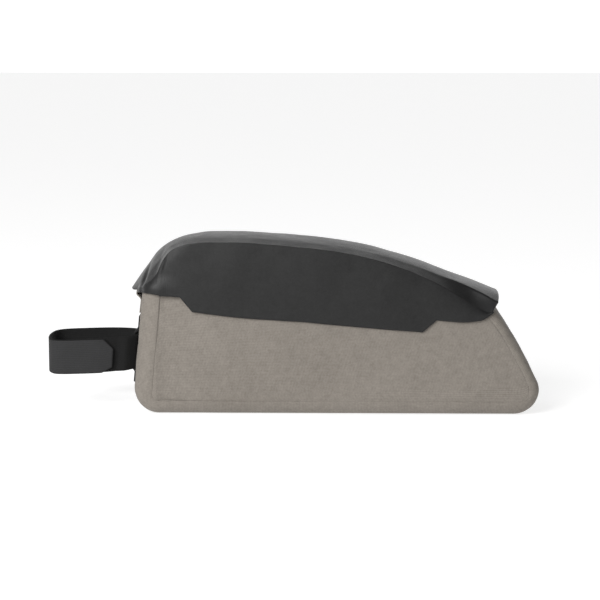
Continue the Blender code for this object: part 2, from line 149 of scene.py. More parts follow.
# Pressed creases of the far side: both ends, depth and half width. Each fades out at its ends.
CREASE_END = 0.05
PANEL_CREASES = (((-0.1016, HALF_WIDTH, 0.0750), (-0.1020, HALF_WIDTH, 0.0650), 0.0009, 0.0015),)
LID_CREASES = (
    ((-0.1012, 0.0290, 0.0950), (-0.1046, 0.0290, 0.0855), 0.0007, 0.0010),
    ((-0.1125, 0.0090, 0.0875), (-0.1157, 0.0251, 0.0740), 0.0014, 0.0022),
)

# Steps of the grids, and the power that crowds some of them toward a hem or an edge
WALL_ROWS = 40
FOOT_ROWS = 24
BASE_ROWS = 120
EDGE_STEPS = 16
EDGE_CROWDING = 1.25
FLAT_STEPS = 22
ROWS_PER_SECTION = 9
ROW_CLEARANCE = 0.04
LID_WALL_STEPS = 44
LID_WALL_CROWDING = 1.3
LID_WALL_BEND = 3
FACET_STEPS = 10
FACET_CROWDING = 1.4
CROWN_STEPS = 18
HINGE_STEPS = 12
HINGE_COLUMNS = 24
KEEPER_STEPS = 80
KEEPER_COLUMNS = 20
STRAP_STEPS = 10
STRAP_COLUMNS = 16
CUT_STEPS = 6

# Small lengths and areas that stand in for nothing at all in a division
TINY_LENGTH = 1e-9
TINY_AREA = 1e-12


# Small tools


def smooth(a, b, share):
    t = min(1.0, max(0.0, share))
    return a + (b - a) * t * t * (3 - 2 * t)


def slopes(values):
    steps = [b - a for a, b in zip(values, values[1:])]
    inner = [0.0 if p * q <= 0 else 2 * p * q / (p + q) for p, q in zip(steps, steps[1:])]
    return [steps[0], *inner, steps[-1]]


def along_curve(values, at):
    """The value at row number `at`, a fraction too, on a smooth curve through a column of values."""
    i = min(int(at), len(values) - 2)
    t = at - i
    slope = slopes(values)
    rise = values[i + 1] - values[i]
    return (
        values[i]
        + slope[i] * t
        + (3 * rise - 2 * slope[i] - slope[i + 1]) * t * t
        + (slope[i] + slope[i + 1] - 2 * rise) * t * t * t
    )


def normals_of(grid):
    """Unit normals of a grid of points, shape (rows, columns, 3)."""
    along = np.empty_like(grid)
    along[:, 1:-1] = grid[:, 2:] - grid[:, :-2]
    along[:, 0] = grid[:, 1] - grid[:, 0]
    along[:, -1] = grid[:, -1] - grid[:, -2]
    onward = np.empty_like(grid)
    onward[1:-1] = grid[2:] - grid[:-2]
    onward[0] = grid[1] - grid[0]
    onward[-1] = grid[-1] - grid[-2]
    normal = np.cross(along, onward)
    return normal / np.maximum(np.linalg.norm(normal, axis=2, keepdims=True), TINY_AREA)


def ripple(grid, height, size, seed, mask=None):
    """Soft uneven cloth: each point moves along its normal by smooth noise."""
    offset = Vector([seed * step for step in SEED_STEP])
    lift = np.array([[noise.noise(Vector(point) / size + offset) for point in row] for row in grid])
    if mask is not None:
        lift = lift * mask
    return grid + normals_of(grid) * (lift * height)[:, :, None]


def press(grid, side, start, end, depth, width):
    """A crease pressed into the grid along a line between two points, given for the far side."""
    a, b = (np.array((x, side * y, z)) for x, y, z in (start, end))
    line = b - a
    share = np.clip(((grid - a) @ line) / (line @ line), 0.0, 1.0)
    away = np.linalg.norm(grid - (a + share[:, :, None] * line), axis=2)
    fade = np.sin(np.pi * np.clip(share * (1 - 2 * CREASE_END) + CREASE_END, 0.0, 1.0)) ** 0.5
    return grid - normals_of(grid) * (depth * fade * np.exp(-((away / width) ** 2)))[:, :, None]


# Building a cloth piece

UV_NAME = "cloth"
EDGE_ROUND = 0.3


def cloth_map(grid):
    """(u, v) of each point in metres, with u counted from the middle column."""
    across = np.linalg.norm(np.diff(grid, axis=1), axis=2)
    u = np.concatenate([np.zeros((len(grid), 1)), np.cumsum(across, axis=1)], axis=1)
    u -= u[:, [grid.shape[1] // 2]]
    onward = np.linalg.norm(np.diff(grid, axis=0), axis=2).mean(axis=1)
    v = np.repeat(np.concatenate([[0.0], np.cumsum(onward)])[:, None], grid.shape[1], axis=1)
    return [*zip(u.ravel(), v.ravel())]


def border_of(tall, wide):
    """Numbers of the grid's outermost points, once round."""
    border = list(range(wide))
    border += [i * wide + wide - 1 for i in range(1, tall)]
    border += [(tall - 1) * wide + j for j in range(wide - 2, -1, -1)]
    border += [i * wide for i in range(tall - 2, 0, -1)]
    return border


def hem_point(points, a, under, tall, wide):
    """The rounded hem's outermost point, beyond border point `a` and the one under it."""
    i, j = divmod(a, wide)
    back = min(max(i, 1), tall - 2) * wide + min(max(j, 1), wide - 2)
    middle = (points[a] + points[under + a]) / 2
    out = points[a] - points[back]
    thick = np.linalg.norm(points[a] - points[under + a])
    normal = (points[a] - points[under + a]) / max(thick, TINY_LENGTH)
    out = out - normal * (out @ normal)
    out = out / max(np.linalg.norm(out), TINY_LENGTH)
    return middle + out * thick * EDGE_ROUND


def cloth(name, grid, inner, materials, nodes):
    """A closed piece between an outer and an inner grid, with rounded hems and a UV map in metres."""
    tall, wide = grid.shape[:2]
    points = [*grid.reshape(-1, 3), *inner.reshape(-1, 3)]
    maps = cloth_map(grid) * 2
    under = tall * wide
    faces = []
    for i in range(tall - 1):
        for j in range(wide - 1):
            a = i * wide + j
            faces.append((a, a + 1, a + wide + 1, a + wide))
            faces.append((under + a, under + a + wide, under + a + wide + 1, under + a + 1))
    border = border_of(tall, wide)
    ring = []
    for a in border:
        ring.append(len(points))
        points.append(hem_point(points, a, under, tall, wide))
        maps.append(maps[a])
    for k, a in enumerate(border):
        b = border[(k + 1) % len(border)]
        p, q = ring[k], ring[(k + 1) % len(border)]
        faces.append((b, a, p, q))
        faces.append((q, p, under + a, under + b))
    mesh = bpy.data.meshes.new(name)
    mesh.from_pydata([tuple(p) for p in points], [], faces)
    layer = mesh.uv_layers.new(name=UV_NAME)
    for loop in mesh.loops:
        layer.data[loop.index].uv = maps[loop.vertex_index]
    for material in materials:
        mesh.materials.append(material)
    mesh.shade_smooth()
    piece = bpy.data.objects.new(name, mesh)
    bpy.context.scene.collection.objects.link(piece)
    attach(piece, "root")
    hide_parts(*nodes)
    return piece


# Materials

MIX_FIRST = 6
MIX_SECOND = 7
MIX_RESULT = 2
MIDDLE_TONE = 0.5
SHEEN_ROUGHNESS = 0.5

# Noise: scale, detail and roughness
YARN = (900.0, 2.0, 0.6)
PATCH = (260.0, 3.0, 0.6)
BROAD = (22.0, 3.0, 0.5)
NAP = (1400.0, 3.0, 0.7)
CLOUD = (120.0, 2.0, 0.5)

# Woven cloth: shares of its tone and of its relief, spread of its roughness, height of its relief
CROSSING_TONE = 0.30
YARN_TONE = 0.9
PATCH_TONE = 1.2
BROAD_TONE = 0.8
CROSSING_RELIEF = 0.5
YARN_RELIEF = 0.6
WOVEN_SPREAD = (-0.06, 0.08)
WOVEN_RELIEF = 0.0002

# Woven tape, the same
RIB_TONE = 0.15
CLOUD_TONE = 0.3
RIB_RELIEF = 0.4
RIB_STRETCH = 1.4
TAPE_SPREAD = (-0.05, 0.1)
TAPE_RELIEF = 0.00025
TAPE_SPECULAR = 0.3


class Graph:
    """Short names for adding and joining the nodes of one material."""

    def __init__(self, name):
        self.material = bpy.data.materials.new(name)
        self.material.use_nodes = True
        self.tree = self.material.node_tree
        self.shader = self.tree.nodes["Principled BSDF"]

    def node(self, kind, **settings):
        made = self.tree.nodes.new(kind)
        for key, value in settings.items():
            setattr(made, key, value)
        return made

    def join(self, source, target):
        self.tree.links.new(source, target)

    def math(self, operation, a, b=0.0):
        made = self.node("ShaderNodeMath", operation=operation)
        for socket, value in zip(made.inputs, (a, b)):
            if isinstance(value, (int, float)):
                socket.default_value = value
            else:
                self.join(value, socket)
        return made.outputs[0]

    def place(self):
        return self.node("ShaderNodeTexCoord").outputs["Object"]

    def cloth_directions(self):
        """The piece's own two directions, in metres."""
        split = self.node("ShaderNodeSeparateXYZ")
        self.join(self.node("ShaderNodeUVMap", uv_map=UV_NAME).outputs["UV"], split.inputs[0])
        return split.outputs[0], split.outputs[1]

    def wave(self, value, turn):
        return self.math("SINE", self.math("MULTIPLY", value, turn))

    def noise(self, coordinates, scale, detail, roughness):
        made = self.node("ShaderNodeTexNoise")
        made.inputs["Scale"].default_value = scale
        made.inputs["Detail"].default_value = detail
        made.inputs["Roughness"].default_value = roughness
        self.join(coordinates, made.inputs["Vector"])
        return made.outputs["Fac"]

    def colour(self, tone, dark, light):
        """Base colour from dark to light, along a tone that is held between 0 and 1."""
        clamp = self.node("ShaderNodeClamp")
        self.join(tone, clamp.inputs[0])
        made = self.node("ShaderNodeMix", data_type="RGBA")
        self.join(clamp.outputs[0], made.inputs["Factor"])
        made.inputs[MIX_FIRST].default_value = (*dark, 1.0)
        made.inputs[MIX_SECOND].default_value = (*light, 1.0)
        self.join(made.outputs[MIX_RESULT], self.shader.inputs["Base Color"])

    def roughness(self, value, middle, spread):
        made = self.node("ShaderNodeMapRange")
        made.inputs["To Min"].default_value = middle + spread[0]
        made.inputs["To Max"].default_value = middle + spread[1]
        self.join(value, made.inputs["Value"])
        self.join(made.outputs[0], self.shader.inputs["Roughness"])

    def relief(self, height, strength, distance):
        raised = self.node("ShaderNodeBump")
        raised.inputs["Strength"].default_value = strength
        raised.inputs["Distance"].default_value = distance
        self.join(height, raised.inputs["Height"])
        self.join(raised.outputs[0], self.shader.inputs["Normal"])


def woven(name, dark, light, pitch, roughness, sheen, bump, mottle, specular):
    """Coated woven cloth: two sets of diagonal threads that cross, uneven yarn, broad variation of tone."""
    g = Graph(name)
    u, v = g.cloth_directions()
    place = g.place()
    turn = 2 * math.pi / pitch / math.sqrt(2)
    warp = g.wave(g.math("ADD", u, v), turn)
    weft = g.wave(g.math("SUBTRACT", u, v), turn)
    crossing = g.math("MULTIPLY", warp, weft)
    yarn = g.noise(place, *YARN)
    patch = g.noise(place, *PATCH)
    broad = g.noise(place, *BROAD)
    tone = g.math("ADD", g.math("MULTIPLY", crossing, CROSSING_TONE), MIDDLE_TONE)
    for value, share in ((yarn, YARN_TONE), (patch, PATCH_TONE * mottle), (broad, BROAD_TONE * mottle)):
        off_middle = g.math("SUBTRACT", value, MIDDLE_TONE)
        tone = g.math("ADD", tone, g.math("MULTIPLY", off_middle, share))
    g.colour(tone, dark, light)
    g.roughness(patch, roughness, WOVEN_SPREAD)
    g.shader.inputs["Sheen Weight"].default_value = sheen
    g.shader.inputs["Sheen Roughness"].default_value = SHEEN_ROUGHNESS
    g.shader.inputs["Specular IOR Level"].default_value = specular
    threads = g.math("MULTIPLY", crossing, CROSSING_RELIEF)
    g.relief(g.math("ADD", threads, g.math("MULTIPLY", yarn, YARN_RELIEF)), bump, WOVEN_RELIEF)
    return g.material


def webbing(name, dark, light, pitch, roughness, bump):
    """Black woven tape: fine ribs along it, with a soft nap."""
    g = Graph(name)
    u, v = g.cloth_directions()
    place = g.place()
    ribs = g.wave(u, 2 * math.pi / pitch)
    steps = g.wave(v, 2 * math.pi / (pitch * RIB_STRETCH))
    nap = g.noise(place, *NAP)
    cloud = g.noise(place, *CLOUD)
    soft = g.math("ADD", nap, g.math("MULTIPLY", cloud, CLOUD_TONE))
    g.colour(g.math("ADD", g.math("MULTIPLY", ribs, RIB_TONE), soft), dark, light)
    g.roughness(nap, roughness, TAPE_SPREAD)
    g.shader.inputs["Sheen Weight"].default_value = 0.0
    g.shader.inputs["Specular IOR Level"].default_value = TAPE_SPECULAR
    bumps = g.math("MULTIPLY", g.math("MULTIPLY", ribs, steps), RIB_RELIEF)
    g.relief(g.math("ADD", bumps, nap), bump, TAPE_RELIEF)
    return g.material


BODY_CLOTH = woven(
    "body_cloth",
    dark=(0.135, 0.120, 0.103),
    light=(0.235, 0.212, 0.186),
    pitch=0.00125,
    roughness=0.78,
    sheen=0.05,
    bump=0.45,
    mottle=0.6,
    specular=0.25,
)
LID_CLOTH = woven(
    "lid_cloth",
    dark=(0.005, 0.005, 0.005),
    light=(0.014, 0.014, 0.014),
    pitch=0.00100,
    roughness=0.42,
    sheen=0.0,
    bump=0.25,
    mottle=0.5,
    specular=0.30,
)
HOOK_TAPE = webbing(
    "hook_tape",
    dark=(0.010, 0.010, 0.010),
    light=(0.026, 0.026, 0.027),
    pitch=0.0011,
    roughness=0.80,
    bump=0.30,
)
# Loop side of the strap, darker than the hook side: partly the tape's own colour, partly painted shade for
# the shaded stub and the inside of the loop
LOOP_TAPE_AND_SHADE = webbing(
    "loop_tape_and_painted_shade",
    dark=(0.002, 0.002, 0.002),
    light=(0.008, 0.008, 0.008),
    pitch=0.0011,
    roughness=0.90,
    bump=0.45,
)
KEEPER_CLOTH = webbing(
    "keeper_tape",
    dark=(0.004, 0.004, 0.004),
    light=(0.010, 0.010, 0.010),
    pitch=0.0009,
    roughness=0.80,
    bump=0.35,
)


# Side outline of the body

Station = namedtuple("Station", "x z out_x out_z lip rear")


def front_wall_x(z):
    start = math.pi - FRONT_LEAN
    foot_x = -BODY_LENGTH / 2 + FRONT_FOOT_RADIUS * (1 + math.cos(start))
    foot_z = FRONT_FOOT_RADIUS * (1 + math.sin(start))
    return foot_x + (z - foot_z) * math.tan(FRONT_LEAN)


def foot_arc(centre, radius, start, end, first_lip, last_lip):
    """Stations round one foot, from angle to angle, with the lip changing on the way."""
    made = []
    for k in range(FOOT_ROWS + 1):
        share = k / FOOT_ROWS
        angle = start + (end - start) * share
        c, s = math.cos(angle), math.sin(angle)
        lip = smooth(first_lip, last_lip, share)
        made.append(Station(centre + radius * c, radius * (1 + s), c, s, lip, 0.0))
    return made


def side_outline():
    """Stations from the front rim round to the rear rim. `rear` is the share up the rear wall."""
    start, down = math.pi - FRONT_LEAN, math.radians(270)
    low = FRONT_FOOT_RADIUS * (1 + math.sin(start))
    made = []
    for k in range(WALL_ROWS):
        z = FRONT_RIM_HEIGHT + (low - FRONT_RIM_HEIGHT) * k / WALL_ROWS
        made.append(Station(front_wall_x(z), z, math.cos(start), math.sin(start), FRONT_LIP, 0.0))
    first, last = -BODY_LENGTH / 2 + FRONT_FOOT_RADIUS, BODY_LENGTH / 2 - REAR_FOOT_RADIUS
    made += foot_arc(first, FRONT_FOOT_RADIUS, start, down, FRONT_LIP, BASE_LIP)
    for k in range(1, BASE_ROWS):
        made.append(Station(first + (last - first) * k / BASE_ROWS, 0.0, 0.0, -1.0, BASE_LIP, 0.0))
    end = 2 * math.pi + math.pi / 2 - REAR_SLOPE
    made += foot_arc(last, REAR_FOOT_RADIUS, down, end, BASE_LIP, REAR_LIP)
    low_x, low_z = made[-1].x, made[-1].z
    c, s = math.cos(end), math.sin(end)
    length = (REAR_RIM_HEIGHT - low_z) / math.sin(REAR_SLOPE)
    for k in range(1, WALL_ROWS + 1):
        share = k / WALL_ROWS
        bow = REAR_BOW * 4 * share * (1 - share)
        x = low_x - length * share * math.cos(REAR_SLOPE) + bow * c
        z = low_z + length * share * math.sin(REAR_SLOPE) + bow * s
        made.append(Station(x, z, c, s, REAR_LIP, share))
    return made


OUTLINE = side_outline()


def valley(lip, away):
    """How far the cloth is drawn in near the seam."""
    return np.interp(lip, VALLEY_LIPS, VALLEY_DEPTHS) * np.exp(-((away / VALLEY_WIDTH) ** 2))


# Gusset


def gusset_profile(lip, under):
    """(depth, y) across the strip. Its outer edge is drawn in where it meets the side panel."""
    near = []
    radius = lip - under
    for k in range(EDGE_STEPS + 1):
        angle = math.radians(90) * (k / EDGE_STEPS) ** EDGE_CROWDING
        drawn = valley(lip, radius * angle)
        if k == 0:
            drawn += SEAM_ROLL
        turned = radius + (0 if under else -drawn)
        side = lip - turned * math.cos(angle)
        near.append((lip - radius * math.sin(angle), -HALF_WIDTH + max(side, under)))
    flat = HALF_WIDTH - lip
    middle = [(under, -flat + 2 * flat * k / FLAT_STEPS) for k in range(1, FLAT_STEPS)]
    return [*near, *middle, *((depth, -y) for depth, y in reversed(near))]


def gusset_grid(under):
    rows = []
    for station in OUTLINE:
        row = []
        for depth, y in gusset_profile(station.lip, under):
            x, z = station.x - station.out_x * depth, station.z - station.out_z * depth
            if station.rear:
                lift = REAR_RIM_ARCH * station.rear * (1 - (y / HALF_WIDTH) ** 2)
                x -= lift * math.cos(REAR_SLOPE)
                z += lift * math.sin(REAR_SLOPE)
            row.append((x, y, z))
        rows.append(row)
    return np.array(rows)


def above_base(grid):
    """0 on the flat base and 1 a little above it, so that the base stays flat."""
    return np.clip(grid[:, :, 2] / BASE_FADE, 0.0, 1.0)


def build_gusset():
    outer = gusset_grid(0.0)
    for layer in GUSSET_RIPPLES:
        outer = ripple(outer, *layer, above_base(outer))
    cloth("gusset_cloth", outer, gusset_grid(GUSSET_THICKNESS), [BODY_CLOTH], ["gusset"])


# Side panels


def seam_line():
    """(x, z) of the panel's edge at each station of the outline."""
    inset = [station.lip + SEAM_GAP for station in OUTLINE]
    return np.array([(s.x - s.out_x * deep, s.z - s.out_z * deep) for s, deep in zip(OUTLINE, inset)])


def shares_of(points):
    run = np.concatenate([[0.0], np.cumsum(np.linalg.norm(np.diff(points, axis=0), axis=1))])
    return run / run[-1]


def panel_grid(seam):
    """(x, z) over the panel, blended from its front, base, rear and rim."""
    first = WALL_ROWS + FOOT_ROWS // 2
    second = WALL_ROWS + FOOT_ROWS + BASE_ROWS + FOOT_ROWS // 2
    front = seam[: first + 1][::-1]
    base = seam[first : second + 1]
    rear = seam[second:]
    along, up = shares_of(base), (shares_of(front) + shares_of(rear)) / 2
    rim = seam[0] + (seam[-1] - seam[0]) * along[:, None]
    along, up = np.meshgrid(along, up)
    along, up = along[:, :, None], up[:, :, None]
    plane = (1 - up) * base[None] + up * rim[None] + (1 - along) * front[:, None] + along * rear[:, None]
    foot = (1 - along) * (1 - up) * base[0] + along * (1 - up) * base[-1]
    plane -= foot + (1 - along) * up * rim[0] + along * up * rim[-1]
    return plane


def distance_to_seam(plane, seam):
    """How far each point is from the seam, and the gusset's lip at the nearest stretch of it."""
    flat = plane.reshape(-1, 2)
    away = np.full(len(flat), BODY_LENGTH)
    lips = np.zeros(len(flat))
    for a, b, station in zip(seam, seam[1:], OUTLINE):
        line = b - a
        share = np.clip(((flat - a) @ line) / max(line @ line, TINY_AREA), 0, 1)
        reach = np.linalg.norm(flat - (a + share[:, None] * line), axis=1)
        lips = np.where(reach < away, station.lip, lips)
        away = np.minimum(away, reach)
    return away.reshape(plane.shape[:2]), lips.reshape(plane.shape[:2])


def panel_rise(plane, away, lips):
    """The padded panel's crown, with a hollow behind the front seam, and how far the seam draws it in."""
    roll = valley(lips, away) + SEAM_ROLL * np.exp(-((away / SEAM_ROLL_WIDTH) ** 2))
    crown = PANEL_CROWN * (1 - np.exp(-((away / PANEL_CROWN_RUN) ** 2)))
    from_front = plane[:, :, 0] - front_wall_x(PANEL_MIDDLE_HEIGHT) - FRONT_LIP
    share = np.clip(from_front / FRONT_SINK_AT, 0, None)
    return crown - FRONT_SINK * share * np.exp(1 - share), roll


def build_panels():
    seam = seam_line()
    plane = panel_grid(seam)
    away, lips = distance_to_seam(plane, seam)
    crown, roll = panel_rise(plane, away, lips)
    for side, node in ((-1, "side_panel_near"), (1, "side_panel_far")):
        outer_y = side * (HALF_WIDTH + crown - roll)
        inner_y = np.full_like(crown, side * (HALF_WIDTH - PANEL_THICKNESS))
        # The far panel's columns run the other way, so that both panels face outward
        outer = np.dstack([plane[:, :, 0], outer_y, plane[:, :, 1]])[:, ::-side]
        inner = np.dstack([plane[:, :, 0], inner_y, plane[:, :, 1]])[:, ::-side]
        inside = np.clip(away[:, ::-side] / PANEL_EDGE_FADE, 0, 1)
        for crease in PANEL_CREASES:
            outer = press(outer, side, *crease)
        for height, size, seed in PANEL_RIPPLES:
            outer = ripple(outer, height, size, seed + side, inside)
        piece = cloth(node + "_cloth", outer, inner, [BODY_CLOTH], [node])


# Lid

# Places along and across the bag are shares of its length and half width, heights are shares of the lid's
# top. Columns: crown along, crown height, shoulder along, across and height, hem's turn round the front
# corner in degrees, hem along, across and height, then where the facet's crease lies and how far it lifts.
LID_SECTIONS = [
    (-0.0100, 0.690, 0.0090, 0.480, 0.692, -8.0, 0.0, 1.0, 0.680, 0.86, 0.10),
    (0.0080, 0.752, 0.0150, 0.685, 0.715, 16.0, 0.0, 1.0, 0.692, 0.76, 0.20),
    (0.0320, 0.826, 0.0255, 0.825, 0.732, 36.0, 0.0, 1.0, 0.697, 0.76, 0.34),
    (0.0550, 0.898, 0.0420, 0.930, 0.754, 56.0, 0.0, 1.0, 0.697, 0.76, 0.46),
    (0.0740, 0.937, 0.0600, 0.985, 0.795, 76.0, 0.0, 1.0, 0.692, 0.74, 0.56),
    (0.0860, 0.954, 0.0760, 1.000, 0.870, 88.0, 0.0, 1.0, 0.687, 0.70, 0.60),
    (0.0990, 0.967, 0.0940, 1.000, 0.925, 90.0, 0.0900, 1.0, 0.681, 0.66, 0.62),
    (0.1350, 0.990, 0.1320, 1.000, 0.965, 90.0, 0.1340, 1.0, 0.672, 0.60, 0.64),
    (0.1900, 1.003, 0.1900, 1.000, 0.981, 90.0, 0.1900, 1.0, 0.655, 0.60, 0.64),
    (0.2700, 1.003, 0.2700, 1.000, 0.980, 90.0, 0.2700, 1.0, 0.634, 0.60, 0.64),
    (0.4070, 0.982, 0.4070, 1.000, 0.955, 90.0, 0.4070, 1.0, 0.614, 0.62, 0.66),
    (0.5280, 0.952, 0.5280, 1.000, 0.921, 90.0, 0.5280, 1.0, 0.590, 0.60, 0.64),
    (0.6100, 0.910, 0.6100, 1.000, 0.875, 90.0, 0.6100, 1.0, 0.574, 0.62, 0.66),
    (0.6900, 0.857, 0.6900, 1.000, 0.813, 90.0, 0.6900, 1.0, 0.560, 0.64, 0.72),
    (0.7600, 0.796, 0.7600, 1.000, 0.735, 90.0, 0.7600, 1.0, 0.548, 0.64, 0.82),
    (0.8110, 0.750, 0.8100, 1.000, 0.668, 90.0, 0.8100, 1.0, 0.540, 0.72, 0.90),
    (0.8520, 0.718, 0.8480, 0.995, 0.616, 90.0, 0.8500, 0.990, 0.547, 0.86, 0.84),
    (0.8830, 0.694, 0.8720, 0.990, 0.592, 90.0, 0.8740, 0.975, 0.572, 0.93, 0.74),
    (0.9030, 0.676, 0.8830, 0.980, 0.600, 90.0, 0.8850, 0.960, 0.591, 0.95, 0.66),
]
COLUMNS = list(zip(*LID_SECTIONS))
HEM_ALONG = 6
WALL_TURN = 89.9
FIRST_WALL_SECTION = 6.0
HALVINGS = 40


def along_x(share):
    return -BODY_LENGTH / 2 + BODY_LENGTH * share


def tab_drop(x):
    front = (x - TAB_START) / TAB_FRONT_CHAMFER
    rear = (TAB_END - x) / TAB_REAR_CHAMFER
    return TAB_DEPTH * max(0.0, min(1.0, front, rear))


def lid_hem(turn, along, across, height):
    """The hem's point: on an arc round the front corner up to WALL_TURN degrees, then on the side wall."""
    z = LID_TOP_HEIGHT * height
    if turn < WALL_TURN:
        radius = LID_HALF_WIDTH - (HALF_WIDTH - FRONT_LIP)
        x = front_wall_x(LID_FRONT_HEM_HEIGHT) + FRONT_LIP - radius * math.cos(math.radians(turn))
        y = HALF_WIDTH - FRONT_LIP + radius * math.sin(math.radians(turn))
        return x, y, z
    x = along_x(along)
    return x, LID_HALF_WIDTH * across, z - tab_drop(x)


def lid_half_section(at):
    """Points from the far hem up over the shoulder to the crown."""
    values = [along_curve(column, at) for column in COLUMNS]
    crown_along, crown_height, sh_along, sh_across, sh_height = values[:5]
    hem_x, hem_y, hem_z = lid_hem(*values[5:9])
    crease_at, crease_lift = values[9:]
    crown_x, crown_z = along_x(crown_along), LID_TOP_HEIGHT * crown_height
    sh_x, sh_z = along_x(sh_along), LID_TOP_HEIGHT * sh_height
    sh_y = (LID_HALF_WIDTH - LID_SHOULDER_INSET) * sh_across
    points = []
    for k in range(LID_WALL_STEPS):
        t = 1 - (1 - k / LID_WALL_STEPS) ** LID_WALL_CROWDING
        y = hem_y + (sh_y - hem_y) * t**LID_WALL_BEND
        points.append((hem_x + (sh_x - hem_x) * t, y, hem_z + (sh_z - hem_z) * t))
    across = [1 - (1 - crease_at) * (k / FACET_STEPS) ** FACET_CROWDING for k in range(FACET_STEPS)]
    across += [crease_at * (1 - k / CROWN_STEPS) for k in range(CROWN_STEPS + 1)]
    for share in across:
        if share > crease_at:
            lift = crease_lift * (1 - share) / (1 - crease_at)
        else:
            lift = crease_lift + (1 - crease_lift) * (1 - (share / crease_at) ** 2)
        points.append((sh_x + (crown_x - sh_x) * lift, sh_y * share, sh_z + (crown_z - sh_z) * lift))
    return points


def row_at_hem(x):
    """The row number at which the side wall's hem reaches x, found by halving."""
    low, high = FIRST_WALL_SECTION, float(len(LID_SECTIONS) - 1)
    for _ in range(HALVINGS):
        middle = (low + high) / 2
        if along_x(along_curve(COLUMNS[HEM_ALONG], middle)) < x:
            low = middle
        else:
            high = middle
    return low


def lid_grid():
    """Rows over the lid, with one exactly at each corner of the tab."""
    count = (len(LID_SECTIONS) - 1) * ROWS_PER_SECTION
    numbers = [k / ROWS_PER_SECTION for k in range(count + 1)]
    tab = (TAB_START, TAB_START + TAB_FRONT_CHAMFER, TAB_END - TAB_REAR_CHAMFER, TAB_END)
    corners = [row_at_hem(x) for x in tab]
    kept = [n for n in numbers if min(abs(n - c) for c in corners) > ROW_CLEARANCE]
    rows = []
    for at in sorted([*kept, *corners]):
        half = lid_half_section(at)
        rows.append([*half, *((x, -y, z) for x, y, z in half[-2::-1])])
    return np.array(rows)


def rounded_corner(grid):
    """Draws the front corners in above the hem, so that the wall turns to the front in a wide curve."""
    along = np.clip((LID_CORNER_START - grid[:, :, 0]) / LID_CORNER_RUN, 0.0, 1.0)
    up = np.clip((grid[:, :, 2] - LID_CORNER_FOOT) / LID_CORNER_RISE, 0.0, 1.0)
    made = grid.copy()
    made[:, :, 1] *= 1 - LID_CORNER_DRAW * along**2 * up * up * (3 - 2 * up)
    return made


def build_lid():
    outer = rounded_corner(lid_grid())
    inner = outer - normals_of(outer) * LID_THICKNESS
    for side in (-1, 1):
        for crease in LID_CREASES:
            outer = press(outer, side, *crease)
    for layer in LID_RIPPLES:
        outer = ripple(outer, *layer)
    cloth("lid_cloth", outer, inner, [LID_CLOTH], ["lid"])


# Hinge strip


def offset_strip(path, under):
    """A path of (x, z), moved in by `under` square to itself."""
    made = []
    for k, (x, z) in enumerate(path):
        before, after = path[max(k - 1, 0)], path[min(k + 1, len(path) - 1)]
        run, rise = after[0] - before[0], after[1] - before[1]
        length = math.hypot(run, rise)
        made.append((x + under * rise / length, z - under * run / length))
    return made


def hinge_grid(under):
    off = HINGE_GAP + HINGE_THICKNESS
    lip_x = front_wall_x(HINGE_LIP_HEIGHT) - HINGE_REACH
    points = [
        (front_wall_x(HINGE_FOOT_HEIGHT) - off, HINGE_FOOT_HEIGHT),
        (front_wall_x(HINGE_BEND_HEIGHT) - off, HINGE_BEND_HEIGHT),
        (lip_x, HINGE_LIP_HEIGHT),
        (lip_x + HINGE_FOLD_IN, HINGE_LIP_HEIGHT + HINGE_FOLD_RISE),
    ]
    xs, zs = zip(*points)
    count = (len(points) - 1) * HINGE_STEPS
    path = [(along_curve(xs, k / HINGE_STEPS), along_curve(zs, k / HINGE_STEPS)) for k in range(count + 1)]
    rows = []
    for k, (x, z) in enumerate(offset_strip(path, under)):
        share = k / count
        width = smooth(HINGE_ROOT_HALF_WIDTH, HINGE_TIP_HALF_WIDTH, share)
        bow = smooth(0.0, HINGE_BOW, (share - HINGE_BOW_START) / HINGE_BOW_RUN)
        row = []
        for j in range(HINGE_COLUMNS + 1):
            y = width * (1 - 2 * j / HINGE_COLUMNS)
            row.append((x + bow * (y / width) ** 2, y, z))
        rows.append(row)
    return np.array(rows)


def build_hinge():
    outer, inner = hinge_grid(0.0), hinge_grid(HINGE_THICKNESS)
    cloth("hinge_cloth", outer, inner, [BODY_CLOTH], ["hinge_strip"])


# Strap keeper


def keeper_grid(under):
    """A strip up the front wall, which bridges the strap on two short ramps."""
    flat = KEEPER_WALL_GAP + KEEPER_THICKNESS
    arch = STRAP_WALL_GAP + STRAP_THICKNESS + KEEPER_STRAP_GAP - KEEPER_WALL_GAP
    path = []
    for k in range(KEEPER_STEPS + 1):
        z = KEEPER_FOOT_HEIGHT + KEEPER_LENGTH * k / KEEPER_STEPS
        from_edge = (STRAP_WIDTH / 2 + KEEPER_RAMP - abs(z - STRAP_HEIGHT)) / KEEPER_RAMP
        path.append((front_wall_x(z) - flat - smooth(0.0, arch, from_edge), z))
    across = [KEEPER_WIDTH / 2 * (1 - 2 * j / KEEPER_COLUMNS) for j in range(KEEPER_COLUMNS + 1)]
    return np.array([[(x, y, z) for y in across] for x, z in offset_strip(path, under)])


def build_keeper():
    outer, inner = keeper_grid(0.0), keeper_grid(KEEPER_THICKNESS)
    cloth("keeper_tape", outer, inner, [KEEPER_CLOTH], ["strap_keeper"])


# Strap

# Half of the loop seen from above, from the wall to the tip and back: out from the wall as a share of its
# reach, and across as a share of its half depth
STRAP_LOOP = [
    (0.000, 0.000),
    (0.000, 0.220),
    (0.003, 0.440),
    (0.060, 0.620),
    (0.150, 0.780),
    (0.280, 0.920),
    (0.420, 0.985),
    (0.580, 1.000),
    (0.750, 0.990),
    (0.880, 0.920),
    (0.965, 0.700),
    (0.995, 0.360),
    (1.000, 0.000),
]
HOOK_ROWS_BEFORE_TIP = 4


